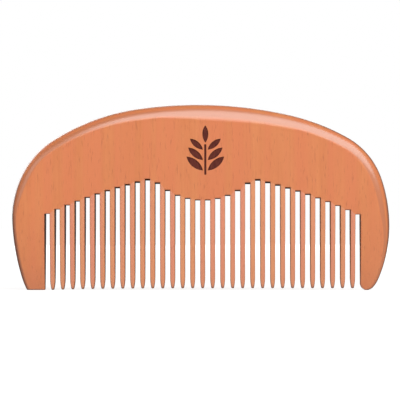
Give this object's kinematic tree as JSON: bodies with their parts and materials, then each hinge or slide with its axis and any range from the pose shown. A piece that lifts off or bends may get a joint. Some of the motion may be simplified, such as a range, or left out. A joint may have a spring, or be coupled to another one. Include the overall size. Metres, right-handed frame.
{
  "type": "beard comb",
  "caption": "Half-moon wooden beard comb: a rounded solid spine with a row of evenly sawn thin teeth between two wide end teeth.",
  "frame": {"origin": "centre of the comb's length and thickness, at the foot of the end teeth", "axes": "+X along the row of teeth, +Y through the board towards its rear face (the burnt ornament is on the -Y face), +Z from the tooth tips to the spine"},
  "size_m": [0.1, 0.008, 0.0492],
  "materials": {
    "wood": "satin, fine straight grain, waxed fruit wood",
    "tooth_wood": "satin, fine grain along the teeth, waxed fruit wood"
  },
  "bodies": {
    "root": {"back": "wood", "tooth_01": "tooth_wood", "tooth_02": "tooth_wood", "tooth_03": "tooth_wood", "tooth_04": "tooth_wood", "tooth_05": "tooth_wood", "tooth_06": "tooth_wood", "tooth_07": "tooth_wood", "tooth_08": "tooth_wood", "tooth_09": "tooth_wood", "tooth_10": "tooth_wood", "tooth_11": "tooth_wood", "tooth_12": "tooth_wood", "tooth_13": "tooth_wood", "tooth_14": "tooth_wood", "tooth_15": "tooth_wood", "tooth_16": "tooth_wood", "tooth_17": "tooth_wood", "tooth_18": "tooth_wood", "tooth_19": "tooth_wood", "tooth_20": "tooth_wood", "tooth_21": "tooth_wood", "tooth_22": "tooth_wood", "tooth_23": "tooth_wood", "tooth_24": "tooth_wood", "tooth_25": "tooth_wood", "tooth_26": "tooth_wood", "tooth_27": "tooth_wood", "tooth_28": "tooth_wood", "tooth_29": "tooth_wood", "tooth_30": "tooth_wood", "tooth_31": "tooth_wood", "end_tooth_left": "wood", "end_tooth_right": "wood"}
  },
  "joints": []
}
